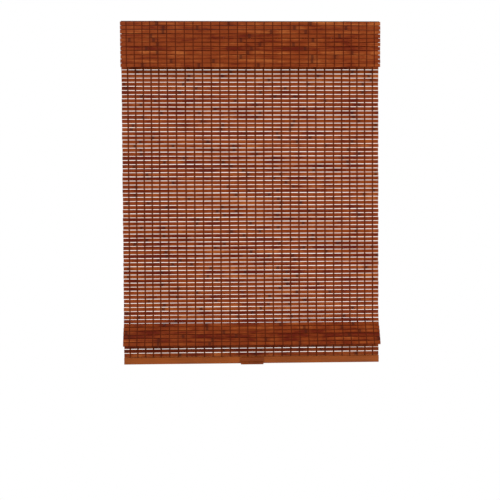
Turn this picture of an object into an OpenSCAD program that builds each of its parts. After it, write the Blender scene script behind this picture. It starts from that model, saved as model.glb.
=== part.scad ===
// Bamboo roman shade with a cordless lift, hung from two brackets.
// Lengths are millimetres. X runs across the shade, -Y faces the room and +Z is up.
// The origin is the middle of the four bracket screw holes, on the brackets' upper face.

/* [Woven mat] */
// Width of the mats and of the bottom rail
shade_w = 864; // [600:1:1200]
// Width of one bamboo slat
slat_w = 12.15; // [9:0.05:13]
// Open gap between two slats
slat_gap = 1.6; // [1.4:0.05:4]
// Thickness of one slat
slat_t = 1.6; // [1.2:0.1:2]
// Slat rows in the flat panel above the fold
panel_rows = 69; // [60:1:90]
// Slat rows in the valance
valance_rows = 11; // [8:1:13]
// Width of the warp that ties the slats near each edge
warp_w = 2.8; // [2:0.1:4]
// Thickness of that warp
warp_t = 0.8; // [0.5:0.1:1]
// Distance from the mat's edge to the middle of the edge warp
warp_inset = 20; // [12:1:30]

/* [Bottom fold] */
// Slat rows on the front of the fold
fold_front_rows = 7; // [6:1:8]
// Slat rows on the back of the fold
fold_back_rows = 6; // [6:1:7]
// Slat rows in the tail below the fold
tail_rows = 9; // [8:1:12]
// Lean of the fold's front from the vertical, in degrees
fold_lean = 28; // [20:1:34]
// Spare warp where the fold leaves the panel
hinge_room = 0.4; // [0.3:0.1:1]
// Distance between the fold's two layers at its lower edge
fold_gap = 3.2; // [3:0.1:5]
// Spare warp at the upper end of the fold's back
fold_room = 2.2; // [2:0.1:3.5]
// Spare warp above the tail's first slat
tail_room = 4.5; // [3.5:0.1:6]

/* [Headrail] */
// Depth of the headrail, front to back
rail_d = 54; // [54:1:64]
// Height of the headrail
rail_h = 40; // [40:1:50]
// Steel thickness of the headrail
rail_wall = 1; // [0.8:0.1:1.4]
// Width of each lip along the headrail's open top
rail_lip = 9; // [7:0.5:10]
// How far each end of the headrail stops short of the mat's edge
rail_inset = 3; // [2:0.5:10]
// Thickness of an end cap's flange
cap_t = 2; // [1.5:0.5:3]
// Length of an end cap's plug
cap_plug = 12; // [8:1:16]
// Wall of an end cap's plug
cap_wall = 1.6; // [1.2:0.2:2.4]

/* [Brackets] */
// Width of a bracket
bracket_w = 28; // [20:1:36]
// Steel thickness of a bracket
bracket_t = 1.5; // [1:0.1:2]
// Distance from the mat's edge to the middle of a bracket
bracket_inset = 110; // [60:1:120]
// Diameter of a bracket's screw hole
screw_hole_d = 4.8; // [4:0.1:6]
// Distance between the two screw holes of a bracket
screw_hole_gap = 16; // [12:1:18]

/* [Cordless lift] */
// Distance from the mat's edge to a lift cord
cord_inset = 182.7; // [160:1:200]
// Diameter of a lift cord
cord_d = 1.4; // [1:0.1:1.8]
// Radius of a cord drum's core
drum_r = 10; // [8:0.5:10]
// Length of a cord drum over its flanges
drum_len = 36; // [28:1:44]
// Height of a cord drum's flange above its core
drum_flange = 3; // [2.5:0.5:3]
// Corner radius of the hexagonal lift shaft
shaft_r = 3.4; // [2.5:0.1:3.6]
// Radius of the journals that turn in the cradles and the motor
journal_r = 4.5; // [4.2:0.1:5]
// Length of the spring motor's case
motor_w = 44; // [36:1:60]
// Wall of the spring motor's case
motor_wall = 2; // [1.5:0.1:2.5]

/* [Bottom rail] */
// Height of the front wooden strip
hem_h = 22.8; // [21:0.1:30]
// Thickness of the front wooden strip
hem_t = 6; // [5:0.5:9]
// Height of the back wooden strip
hem_back_h = 24; // [23:1:25]
// Thickness of the back wooden strip
hem_back_t = 4; // [3:0.5:6]
// Width of the pull handle
handle_w = 76; // [60:1:120]
// Height of the pull handle
handle_h = 24; // [22:1:32]
// How far the handle's lip stands out from the bottom rail
handle_reach = 12; // [10:1:18]

/* [Rings] */
// Slat rows between two rows of rings
ring_step = 13; // [8:1:14]
// Inner radius of a ring's eye
ring_eye_r = 3; // [2:0.1:3.2]
// Thickness of a ring's wire
ring_wire = 1.6; // [1.2:0.1:2]

/* [Hidden] */
$fn = 48;

// Colours
bamboo = [0.49, 0.22, 0.11];
hem_wood = [0.57, 0.30, 0.16];
handle_wood = [0.44, 0.22, 0.10];
brown_steel = [0.22, 0.14, 0.10];
zinc = [0.72, 0.72, 0.70];
ivory_plastic = [0.86, 0.82, 0.72];
brown_plastic = [0.26, 0.16, 0.11];
brown_tape = [0.20, 0.13, 0.09];
spring_steel = [0.60, 0.62, 0.65];
brown_cord = [0.30, 0.17, 0.10];

// Clearances
seat_clear = 0.3;
run_clear = 0.08;
key_clear = 0.06;
fit_clear = 0.05;
seam_gap = 0.3;
overrun = 1;

// Mat
pitch = slat_w + slat_gap;
slat_bevel_share = 0.3;
slat_bevel = slat_t * slat_bevel_share;
warp_x = shade_w / 2 - warp_inset;

// Headrail, under the brackets' plates
rail_top = -bracket_t;
rail_bottom = rail_top - rail_h;
rail_floor = rail_bottom + rail_wall;
cap_x = shade_w / 2 - rail_inset;
rail_len = 2 * (cap_x - cap_t);
inner_d = rail_d - 2 * rail_wall;
seat_d = inner_d - 2 * seat_clear;
lip_in = rail_d / 2 - rail_lip;
cord_back = 7;
cord_y = rail_d / 2 - cord_back;

// Brackets
bracket_x = shade_w / 2 - bracket_inset;
bracket_edge = 4;
hook_grip = 4.5;
hook_bottom = rail_top - rail_wall - seat_clear - bracket_t;

// Batten under the headrail, with the mat hung on its front
batten_t = 6;
batten_h = 24;
cord_clear = 3.2;
mat_y = cord_y - cord_clear - batten_t - slat_t / 2;
mat_front = mat_y - slat_t / 2;
mat_back = mat_y + slat_t / 2;
mat_drop = 5.6;
panel_top = rail_bottom - mat_drop;
panel_end = panel_top - panel_rows * pitch;
small_screw_r = 1.5;
small_head_r = 2.8;
small_head_h = 1.8;
batten_screw_len = 14;
batten_screw_shares = [-0.88, -0.3, 0.3, 0.88];
staple_wire = 0.8;
staple_bite = 4;
staple_shares = [-0.84, -0.63, -0.42, -0.21, 0, 0.21, 0.42, 0.63, 0.84];

// Valance on hook and loop tape in front of the headrail
tape_t = 1.2;
tape_h = 25;
tape_drop = 5;
tape_top = rail_top - tape_drop;
loop_front = -rail_d / 2 - tape_t;
hook_front = loop_front - tape_t;
valance_y = hook_front - slat_t / 2;
valance_drop = 3.3;
valance_top = -valance_drop;

// Fold: the front run leans out from the panel's end, the back run comes in again to the tail
front_len = fold_front_rows * pitch + hinge_room;
back_len = fold_back_rows * pitch + fold_room;
fold_tip_y = mat_y - front_len * sin(fold_lean);
fold_tip_z = panel_end - front_len * cos(fold_lean);
back_start_y = fold_tip_y + fold_gap * cos(fold_lean);
back_start_z = fold_tip_z - fold_gap * sin(fold_lean);
back_lean = asin((mat_y - back_start_y) / back_len);
tail_top = back_start_z + back_len * cos(back_lean);
tail_end = tail_top - tail_room - tail_rows * pitch;

// Bottom rail: two strips that clamp the tail's end
hem_cover = 12.9;
hem_top = tail_end + hem_cover;
hem_bottom = hem_top - hem_h;
hem_front_y = mat_front - hem_t;
hem_back_y = mat_back + hem_back_t;
hem_back_rise = 3;
hem_back_top = hem_top + hem_back_rise;
hem_round = 2;
hem_screw_z = (tail_end + hem_bottom) / 2;
hem_screw_bite = 4;
hem_screw_shares = [-0.92, -0.46, 0.46, 0.92];

// Pull handle on the front strip
handle_drop = 1;
handle_top = hem_top - handle_drop;
handle_bottom = handle_top - handle_h;
handle_plate = 5;
handle_lip = 8;
handle_round = 2.5;
handle_screw_x = handle_w / 4;
handle_screw_bite = 3;

// Lift cords behind the batten
cord_r = cord_d / 2;
cord_x = shade_w / 2 - cord_inset;
anchor_w = 14;
anchor_h = 12;
anchor_rim = 3.2;
anchor_drop = 6;
anchor_top = hem_back_top - anchor_drop;
cord_bite = 9;
cord_end = anchor_top - cord_bite + fit_clear;
dead_turns = 4;

// Cord drums, their cradles and the shaft
drum_play = 1;
end_play = 0.4;
flange_t = 2;
flange_r = drum_r + drum_flange;
cradle_base = 2.5;
cradle_t = 3;
cradle_rim = 3.5;
snap_share = 0.85;
nozzle_r = 2;
nozzle_bore = 1.2;
nozzle_drop = 2;
shaft_y = cord_y - drum_r - cord_r;
shaft_z = rail_floor + cradle_base + flange_r + drum_play;
drum_half = drum_len / 2;
cradle_half = drum_half + end_play + cradle_t;
journal_over = 1;
shaft_over = 3;
shaft_half = cord_x + cradle_half + journal_over + shaft_over;

// Spring motor in the middle of the headrail
out_core_r = 7;
out_coil_r = 9;
out_flange_r = 12.5;
coil_gap = 1.5;
store_play = 2;
band_t = 0.25;
store_back = shaft_y - out_flange_r - coil_gap;
store_front = -seat_d / 2 + motor_wall + store_play;
store_flange_r = (store_back - store_front) / 2;
store_coil_share = 0.894;
store_core_share = 0.553;
store_pin_share = 0.353;
store_coil_r = store_flange_r * store_coil_share;
store_core_r = store_flange_r * store_core_share;
store_pin_r = store_flange_r * store_pin_share;
store_y = store_back - store_flange_r;
motor_inner = motor_w / 2 - motor_wall;
spool_half = motor_inner - end_play - flange_t;
spring_w = 2 * (spool_half - seat_clear);
motor_top = shaft_z + out_flange_r + drum_play + motor_wall;

// Rings sewn to the back of the slats
ring_pad = 8;
ring_pad_t = 1;
ring_neck = 3;
ring_r = ring_eye_r + ring_wire / 2;
tail_ring_z = tail_top - tail_room - pitch / 2;

function ring_z(row) = panel_end + (row * ring_step + 1 / 2) * pitch;

// Points of an arc about a centre, from one angle to another
function arc(centre, radius, from, to, steps = 6) =
    [for (i = [0 : steps]) centre + radius * [cos(from + (to - from) * i / steps),
                                              sin(from + (to - from) * i / steps)]];

// A section drawn as Y and Z, run across the shade
module across(width) {
    rotate([90, 0, 90]) linear_extrude(height = width, center = true) children();
}

// A cylinder that lies along X, centred
module roller(radius, length) {
    rotate([0, 90, 0]) cylinder(r = radius, h = length, center = true);
}

module hex_bar(radius, length) {
    rotate([0, 90, 0]) cylinder(r = radius, h = length, center = true, $fn = 6);
}

// A screw whose head rests on the plane z = 0 and whose shank runs down
module small_screw(length) {
    cylinder(r = small_head_r, h = small_head_h);
    translate([0, 0, -length]) cylinder(r = small_screw_r, h = length);
}

// Hole for that screw's shank
module small_screw_hole(length) {
    translate([0, 0, -length - fit_clear])
        cylinder(r = small_screw_r + fit_clear, h = length + fit_clear + overrun);
}

// Turns a shape that runs down -Z so that it runs forward, from a back face
module from_back(y, z) {
    translate([0, y, z]) rotate([-90, 0, 0]) children();
}

// One slat's section, centred, its width along the second axis
module slat_section() {
    half_t = slat_t / 2;
    half_w = slat_w / 2;
    polygon([
        [-half_t + slat_bevel, -half_w], [half_t - slat_bevel, -half_w],
        [half_t, -half_w + slat_bevel], [half_t, half_w - slat_bevel],
        [half_t - slat_bevel, half_w], [-half_t + slat_bevel, half_w],
        [-half_t, half_w - slat_bevel], [-half_t, -half_w + slat_bevel]
    ]);
}

// Slats that hang from the section's origin, after a lead of bare warp
module slat_rows(rows, lead = 0) {
    for (i = [0 : rows - 1])
        translate([0, -lead - (i + 1 / 2) * pitch]) slat_section();
}

module warp_run(length) {
    translate([-warp_t / 2, -length]) square([warp_t, length]);
}

// The two edge warps, as a section drawn by the children
module edge_warps() {
    for (side = [-1, 1])
        translate([side * warp_x, 0, 0]) across(warp_w) children();
}

module shade_panel() color(bamboo) {
    across(shade_w) translate([mat_y, panel_top]) slat_rows(panel_rows);
    edge_warps() translate([mat_y, panel_top]) warp_run(panel_rows * pitch - seam_gap);
}

module valance() color(bamboo) {
    across(shade_w) translate([valance_y, valance_top]) slat_rows(valance_rows);
    edge_warps() translate([valance_y, valance_top]) warp_run(valance_rows * pitch);
}

// Places a section at one of the fold's three runs
module front_run() { translate([mat_y, panel_end]) rotate(-fold_lean) children(); }
module back_run() { translate([back_start_y, back_start_z]) rotate(180 - back_lean) children(); }
module tail_run() { translate([mat_y, tail_top]) children(); }

// The warp's turn from the front run's end to the back run's start
module warp_turn() {
    difference() {
        circle(d = fold_gap + warp_t);
        circle(d = fold_gap - warp_t);
        translate([-fold_gap, 0]) square([2 * fold_gap, fold_gap]);
    }
}

module bottom_fold() color(bamboo) {
    across(shade_w) {
        front_run() slat_rows(fold_front_rows, hinge_room);
        back_run() slat_rows(fold_back_rows);
        tail_run() slat_rows(tail_rows, tail_room);
    }
    edge_warps() {
        front_run() translate([0, -seam_gap]) warp_run(front_len - seam_gap);
        back_run() warp_run(back_len);
        tail_run() warp_run(tail_top - tail_end);
        front_run() translate([fold_gap / 2, -front_len]) warp_turn();
        tail_run() circle(d = warp_t);
    }
}

module headrail() color(brown_steel) difference() {
    across(rail_len) translate([-rail_d / 2, rail_bottom]) difference() {
        square([rail_d, rail_h]);
        translate([rail_wall, rail_wall]) square([inner_d, rail_h - 2 * rail_wall]);
        translate([rail_lip, rail_h - rail_wall - overrun])
            square([rail_d - 2 * rail_lip, rail_wall + 2 * overrun]);
    }
    for (side = [-1, 1])
        translate([side * cord_x, cord_y, rail_bottom - overrun])
            cylinder(r = nozzle_r + fit_clear, h = rail_wall + 2 * overrun);
    batten_screw_places() small_screw_hole(rail_wall + overrun);
}

module end_cap(side) color(brown_plastic) mirror([side < 0 ? 1 : 0, 0, 0]) {
    plug_h = rail_h - 2 * rail_wall - 2 * seat_clear;
    translate([cap_x - cap_t / 2, 0, 0]) across(cap_t)
        translate([-rail_d / 2, rail_bottom]) square([rail_d, rail_h]);
    translate([cap_x - cap_t - cap_plug / 2, 0, 0]) across(cap_plug)
        translate([-seat_d / 2, rail_floor + seat_clear]) difference() {
            square([seat_d, plug_h]);
            translate([cap_wall, cap_wall]) square([seat_d - 2 * cap_wall, plug_h - 2 * cap_wall]);
        }
}

// Steel clip: a plate with two screw holes, and a hook under each lip of the headrail
module bracket(side) color(zinc) translate([side * bracket_x, 0, 0]) difference() {
    plate_half = rail_d / 2 - bracket_edge;
    web_in = lip_in - seat_clear - bracket_t;
    across(bracket_w) {
        translate([-plate_half, -bracket_t]) square([2 * plate_half, bracket_t]);
        for (face = [0, 1]) mirror([face, 0]) translate([web_in, hook_bottom]) {
            square([bracket_t, -hook_bottom]);
            square([bracket_t + seat_clear + hook_grip, bracket_t]);
        }
    }
    for (place = [-1, 1])
        translate([0, place * screw_hole_gap / 2, hook_bottom - overrun])
            cylinder(d = screw_hole_d, h = -hook_bottom + 2 * overrun);
}

module batten_screw_places() {
    for (share = batten_screw_shares)
        translate([share * shade_w / 2, mat_back + batten_t / 2, rail_floor]) children();
}

module batten_screws() color(zinc) batten_screw_places() small_screw(batten_screw_len);

// Staples that straddle the panel's top slat
module staple_set(slack) {
    leg = slat_w + 2 * (staple_wire + fit_clear);
    for (share = staple_shares)
        translate([share * shade_w / 2, 0, panel_top - pitch / 2]) {
            translate([-staple_wire / 2 - slack, mat_front - staple_wire, -leg / 2])
                cube([staple_wire + 2 * slack, staple_wire - fit_clear, leg]);
            for (end = [-1, 1])
                translate([-staple_wire / 2 - slack, mat_front - staple_wire,
                           end * (leg - staple_wire) / 2 - staple_wire / 2 - slack])
                    cube([staple_wire + 2 * slack, staple_wire + slat_t + staple_bite + slack,
                          staple_wire + 2 * slack]);
        }
}

module panel_staples() color(zinc) staple_set(0);

module hanging_batten() color(hem_wood) difference() {
    translate([-rail_len / 2, mat_back, rail_bottom - batten_h]) cube([rail_len, batten_t, batten_h]);
    batten_screw_places() small_screw_hole(batten_screw_len);
    staple_set(fit_clear);
}

module tape(front) {
    translate([-rail_len / 2, front, tape_top - tape_h]) cube([rail_len, tape_t, tape_h]);
}

module headrail_loop_tape() color(brown_tape) tape(loop_front);
module valance_hook_tape() color(brown_tape) tape(hook_front);

// A flanged spool on the X axis, with a journal at each end
module spool(core_r, rim_r, half, stub_r, stub_len) {
    roller(core_r, 2 * half);
    for (end = [-1, 1]) {
        translate([end * (half - flange_t / 2), 0, 0]) roller(rim_r, flange_t);
        translate([end * (half + stub_len / 2), 0, 0]) roller(stub_r, stub_len);
    }
}

module on_shaft(x) { translate([x, shaft_y, shaft_z]) children(); }

module cord_drum(side) color(ivory_plastic) on_shaft(side * cord_x) difference() {
    stub = end_play + cradle_t + journal_over;
    spool(drum_r, flange_r, drum_half, journal_r, stub);
    hex_bar(shaft_r + key_clear, 2 * (drum_half + stub + overrun));
}

// Snap-in cradle: a base on the headrail's floor, two bearing plates and a cord nozzle
module drum_cradle(side) color(ivory_plastic) translate([side * cord_x, 0, 0]) difference() {
    bore = journal_r + run_clear;
    union() {
        translate([-cradle_half, -seat_d / 2, rail_floor]) cube([2 * cradle_half, seat_d, cradle_base]);
        for (end = [-1, 1])
            translate([end * (cradle_half - cradle_t / 2), 0, 0]) across(cradle_t) {
                translate([shaft_y, shaft_z]) circle(r = bore + cradle_rim);
                translate([shaft_y - bore - cradle_rim, rail_floor])
                    square([2 * (bore + cradle_rim), shaft_z - rail_floor]);
            }
        translate([0, cord_y, rail_bottom - nozzle_drop])
            cylinder(r = nozzle_r, h = rail_wall + nozzle_drop + overrun);
    }
    translate([0, shaft_y, shaft_z]) roller(bore, 2 * (cradle_half + overrun));
    translate([-cradle_half - overrun, shaft_y - bore * snap_share, shaft_z])
        cube([2 * (cradle_half + overrun), 2 * bore * snap_share, bore + cradle_rim + overrun]);
    translate([0, cord_y, rail_bottom - nozzle_drop - overrun])
        cylinder(r = nozzle_bore, h = rail_wall + cradle_base + nozzle_drop + 2 * overrun);
}

module lift_shaft() color(spring_steel) on_shaft(0) hex_bar(shaft_r, 2 * shaft_half);

module output_drum() color(ivory_plastic) on_shaft(0) difference() {
    half = motor_inner - end_play;
    stub = end_play + motor_wall + journal_over;
    spool(out_core_r, out_flange_r, half, journal_r, stub);
    hex_bar(shaft_r + key_clear, 2 * (half + stub + overrun));
}

module storage_drum() color(ivory_plastic) translate([0, store_y, shaft_z])
    spool(store_core_r, store_flange_r, motor_inner - end_play, store_pin_r, end_play + motor_wall);

// Flat steel band, coiled on both drums and crossing from the top of one to the bottom of the other
module motor_spring() color(spring_steel) {
    store_r = store_coil_r - band_t / 2;
    out_r = out_coil_r - band_t / 2;
    span = shaft_y - store_y;
    dip = asin((store_r + out_r) / span);
    across(spring_w) {
        translate([store_y, shaft_z]) difference() {
            circle(r = store_coil_r);
            circle(r = store_core_r + seat_clear);
        }
        translate([shaft_y, shaft_z]) difference() {
            circle(r = out_coil_r);
            circle(r = out_core_r + seat_clear);
        }
        translate([store_y + store_r * sin(dip), shaft_z + store_r * cos(dip)]) rotate(-dip)
            translate([0, -band_t / 2]) square([span * cos(dip), band_t]);
    }
}

// Both halves of the motor's shell, split at the height of the shaft
module motor_shell() difference() {
    inner_h = motor_top - rail_floor - 2 * motor_wall;
    translate([-motor_w / 2, -seat_d / 2, rail_floor]) cube([motor_w, seat_d, motor_top - rail_floor]);
    translate([-motor_inner, -seat_d / 2 + motor_wall, rail_floor + motor_wall])
        cube([2 * motor_inner, seat_d - 2 * motor_wall, inner_h]);
    translate([0, shaft_y, shaft_z]) roller(journal_r + run_clear, motor_w + 2 * overrun);
    translate([0, store_y, shaft_z]) roller(store_pin_r + run_clear, motor_w + 2 * overrun);
}

module motor_half(from, to) {
    intersection() {
        motor_shell();
        translate([-motor_w, -seat_d, from]) cube([2 * motor_w, 2 * seat_d, to - from]);
    }
}

module motor_case() color(brown_plastic) motor_half(rail_floor - overrun, shaft_z);
module motor_cover() color(ivory_plastic) motor_half(shaft_z, motor_top + overrun);

// Lift cord: its dead turns on the drum, then straight down to the bottom rail
module lift_cord(side) color(brown_cord) translate([side * cord_x, 0, 0]) {
    translate([0, shaft_y, shaft_z]) difference() {
        roller(drum_r + cord_d, dead_turns * cord_d);
        roller(drum_r + fit_clear, dead_turns * cord_d + 2 * overrun);
    }
    translate([0, cord_y, cord_end]) cylinder(r = cord_r, h = shaft_z - cord_end);
}

// A ring for the lift cord, with the pad that is sewn to a slat's back
module cord_ring() {
    rotate_extrude() translate([ring_r, 0]) circle(d = ring_wire);
    neck_from = mat_back - cord_y;
    translate([-ring_neck / 2, neck_from, -ring_wire / 2])
        cube([ring_neck, -neck_from - ring_r, ring_wire]);
    translate([-ring_pad / 2, neck_from, -ring_pad / 2]) cube([ring_pad, ring_pad_t, ring_pad]);
}

module ring_pair(z) color(brown_plastic) {
    for (side = [-1, 1]) translate([side * cord_x, cord_y, z]) cord_ring();
}

module hem_screw_places() {
    for (share = hem_screw_shares) translate([share * shade_w / 2, 0, 0]) children();
}

module handle_screw_places() {
    for (side = [-1, 1]) translate([side * handle_screw_x, 0, 0]) children();
}

hem_screw_len = hem_back_t + slat_t + hem_screw_bite;
handle_screw_len = hem_back_t + slat_t + hem_t + handle_screw_bite;

// Every screw hole in the bottom rail, bored from the back
module hem_bores() {
    from_back(hem_back_y, hem_screw_z) {
        hem_screw_places() small_screw_hole(hem_screw_len);
        handle_screw_places() small_screw_hole(handle_screw_len);
    }
}

module hem_bar_front() color(hem_wood) difference() {
    across(shade_w) polygon(concat(
        [[mat_front, hem_bottom], [mat_front, hem_top]],
        arc([hem_front_y + hem_round, hem_top - hem_round], hem_round, 90, 180),
        arc([hem_front_y + hem_round, hem_bottom + hem_round], hem_round, 180, 270)
    ));
    hem_bores();
}

module hem_bar_back() color(hem_wood) difference() {
    translate([-shade_w / 2, mat_back, hem_back_top - hem_back_h]) cube([shade_w, hem_back_t, hem_back_h]);
    hem_bores();
}

module hem_screws() color(zinc)
    from_back(hem_back_y, hem_screw_z) hem_screw_places() small_screw(hem_screw_len);

module handle_screws() color(zinc)
    from_back(hem_back_y, hem_screw_z) handle_screw_places() small_screw(handle_screw_len);

// Finger pull: a plate on the front strip that sweeps out into a rounded lip
module pull_handle() color(handle_wood) difference() {
    plate_y = hem_front_y - handle_plate;
    lip_y = hem_front_y - handle_reach;
    lip_top = handle_bottom + handle_lip;
    sweep = handle_reach - handle_plate - handle_round;
    across(handle_w) polygon(concat(
        [[hem_front_y, handle_bottom], [hem_front_y, handle_top]],
        arc([plate_y + handle_round, handle_top - handle_round], handle_round, 90, 180),
        arc([plate_y - sweep, lip_top + sweep], sweep, 0, -90),
        arc([lip_y + handle_round, lip_top - handle_round], handle_round, 90, 180),
        arc([lip_y + handle_round, handle_bottom + handle_round], handle_round, 180, 270)
    ));
    hem_bores();
}

// Cleats on the back strip that hold the ends of the lift cords
module cord_anchors() color(brown_plastic) {
    for (side = [-1, 1]) translate([side * cord_x, 0, anchor_top - anchor_h]) difference() {
        translate([-anchor_w / 2, hem_back_y, 0]) cube([anchor_w, cord_y + anchor_rim - hem_back_y, anchor_h]);
        translate([0, cord_y, anchor_h - cord_bite])
            cylinder(r = cord_r + fit_clear, h = cord_bite + overrun);
    }
}

headrail();
end_cap(-1);  // end_cap_left
end_cap(1);  // end_cap_right
bracket(-1);  // bracket_left
bracket(1);  // bracket_right
hanging_batten();
batten_screws();
panel_staples();
shade_panel();
headrail_loop_tape();
valance_hook_tape();
valance();
drum_cradle(-1);  // drum_cradle_left
drum_cradle(1);  // drum_cradle_right
cord_drum(-1);  // cord_drum_left
cord_drum(1);  // cord_drum_right
lift_shaft();
motor_case();
motor_cover();
output_drum();
storage_drum();
motor_spring();
lift_cord(-1);  // lift_cord_left
lift_cord(1);  // lift_cord_right
ring_pair(ring_z(0));  // ring_row_1
ring_pair(ring_z(1));  // ring_row_2
ring_pair(ring_z(2));  // ring_row_3
ring_pair(ring_z(3));  // ring_row_4
ring_pair(ring_z(4));  // ring_row_5
ring_pair(tail_ring_z);  // tail_rings
bottom_fold();
hem_bar_front();
hem_bar_back();
hem_screws();
pull_handle();
handle_screws();
cord_anchors();
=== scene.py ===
"""Bamboo roman shade with a cordless lift: its mats, wood, cords and hardware, dressed on the CAD frame.

Lengths are metres. X runs across the shade, -Y faces the room and +Z is up.
"""

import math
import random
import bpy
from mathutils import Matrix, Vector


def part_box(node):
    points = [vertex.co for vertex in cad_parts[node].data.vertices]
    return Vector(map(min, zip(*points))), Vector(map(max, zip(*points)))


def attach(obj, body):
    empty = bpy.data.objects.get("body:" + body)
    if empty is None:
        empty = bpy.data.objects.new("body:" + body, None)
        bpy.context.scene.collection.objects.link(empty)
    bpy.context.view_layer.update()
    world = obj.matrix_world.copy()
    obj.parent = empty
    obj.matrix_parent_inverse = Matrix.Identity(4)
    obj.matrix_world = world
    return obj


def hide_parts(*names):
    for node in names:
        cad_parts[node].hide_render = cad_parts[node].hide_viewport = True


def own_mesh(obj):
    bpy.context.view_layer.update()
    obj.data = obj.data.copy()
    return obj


bl_info = {
    "name": "Bamboo Roman Shade",
    "version": (1, 0, 0),
    "blender": (4, 5, 0),
    "location": "3D View > Sidebar > Roman Shade",
    "description": "Weaves the mats of a bamboo roman shade and finishes its wood, cords and hardware",
    "category": "Object",
}

import bpy
from mathutils import Matrix, Vector

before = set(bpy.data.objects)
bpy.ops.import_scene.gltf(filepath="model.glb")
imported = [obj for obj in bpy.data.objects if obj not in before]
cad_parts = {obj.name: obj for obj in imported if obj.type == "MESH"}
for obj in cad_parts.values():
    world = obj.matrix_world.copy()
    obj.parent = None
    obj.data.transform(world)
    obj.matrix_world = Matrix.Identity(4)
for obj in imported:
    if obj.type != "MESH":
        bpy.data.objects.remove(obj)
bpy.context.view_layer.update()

MM = 0.001
FULL_TURN = 2 * math.pi
FRAME_PIXELS = 500

# sockets that share their names with others on the same node, by their places
MIX_A, MIX_B, MIX_RESULT = 6, 7, 2
RANDOM_MIN, RANDOM_MAX, RANDOM_RESULT = 2, 3, 1


class ShadeSizes(bpy.types.PropertyGroup):
    """Sizes of the weave that a user would change."""

    slat_width: bpy.props.FloatProperty(
        name="Slat width", description="Width of one bamboo slat",
        default=12.15 * MM, unit="LENGTH")
    slat_gap: bpy.props.FloatProperty(
        name="Slat gap", description="Open gap between two slats",
        default=1.6 * MM, unit="LENGTH")
    slat_wander: bpy.props.FloatProperty(
        name="Slat wander", description="How far a slat strays from a straight line",
        default=0.31 * MM, unit="LENGTH")
    slat_edge: bpy.props.FloatProperty(
        name="Slat edge", description="Radius of a slat's rounded edges",
        default=0.45 * MM, unit="LENGTH")
    panel_rows: bpy.props.IntProperty(
        name="Panel rows", description="Slat rows in the flat panel", default=69)
    valance_rows: bpy.props.IntProperty(
        name="Valance rows", description="Slat rows in the valance", default=11)
    front_rows: bpy.props.IntProperty(
        name="Fold front rows", description="Slat rows on the front of the fold", default=7)
    back_rows: bpy.props.IntProperty(
        name="Fold back rows", description="Slat rows on the back of the fold", default=6)
    tail_rows: bpy.props.IntProperty(
        name="Tail rows", description="Slat rows below the fold", default=9)
    fold_lean: bpy.props.FloatProperty(
        name="Fold lean", description="Lean of the fold's front from the vertical",
        default=math.radians(28), subtype="ANGLE")
    hinge_room: bpy.props.FloatProperty(
        name="Hinge room", description="Spare warp where the fold leaves the panel",
        default=0.4 * MM, unit="LENGTH")
    fold_gap: bpy.props.FloatProperty(
        name="Fold gap", description="Distance between the fold's two layers at its lower edge",
        default=3.2 * MM, unit="LENGTH")
    fold_room: bpy.props.FloatProperty(
        name="Fold room", description="Spare warp at the upper end of the fold's back",
        default=2.2 * MM, unit="LENGTH")
    tail_room: bpy.props.FloatProperty(
        name="Tail room", description="Spare warp above the tail's first slat",
        default=4.5 * MM, unit="LENGTH")
    warp_inset: bpy.props.FloatProperty(
        name="Warp inset", description="Distance from the mat's edge to its first warp",
        default=20 * MM, unit="LENGTH")
    warp_edge_pitch: bpy.props.FloatProperty(
        name="Edge warp pitch", description="Distance between the closer warps near each edge",
        default=26 * MM, unit="LENGTH")
    warp_edge_count: bpy.props.IntProperty(
        name="Edge warp pitches", description="Closer pitches at each edge", default=4)
    warp_inner_count: bpy.props.IntProperty(
        name="Inner warp pitches", description="Pitches between the closer ones", default=21)
    warp_width: bpy.props.FloatProperty(
        name="Warp width", description="Width of one band of warp yarns",
        default=3.0 * MM, unit="LENGTH")
    warp_thickness: bpy.props.FloatProperty(
        name="Warp thickness", description="Thickness of one band of warp yarns",
        default=0.7 * MM, unit="LENGTH")

    @property
    def pitch(self):
        """Distance from one slat to the next."""
        return self.slat_width + self.slat_gap


class ShadeColours(bpy.types.PropertyGroup):
    """Colours as sRGB hex values."""

    bamboo: bpy.props.StringProperty(
        name="Bamboo", description="Middle tone of the stained slats", default="88390F")
    bamboo_dark: bpy.props.StringProperty(
        name="Dark bamboo", description="Stain in the streaks and flecks", default="601600")
    bamboo_light: bpy.props.StringProperty(
        name="Light bamboo", description="Rubbed and paler slats", default="AC5B28")
    bamboo_node: bpy.props.StringProperty(
        name="Bamboo nodes", description="Stain in the rings at the cane's nodes", default="431404")
    # a painted glow: the pale colour that slats which hang free get on their edges, standing in for light
    # coming through between them
    bamboo_edge_glow: bpy.props.StringProperty(
        name="Bamboo edge glow", description="Painted glow on the edges of slats that hang free", default="E0A070")
    warp: bpy.props.StringProperty(
        name="Warp", description="Dyed cotton warp", default="5A2008")
    hem: bpy.props.StringProperty(
        name="Bottom rail", description="Stained wood of the bottom rail", default="914713")
    handle: bpy.props.StringProperty(
        name="Handle", description="Stained wood of the pull handle", default="7E3708")
    backdrop: bpy.props.StringProperty(
        name="Backdrop", description="Floor of the studio", default="F2F1EF")


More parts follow.
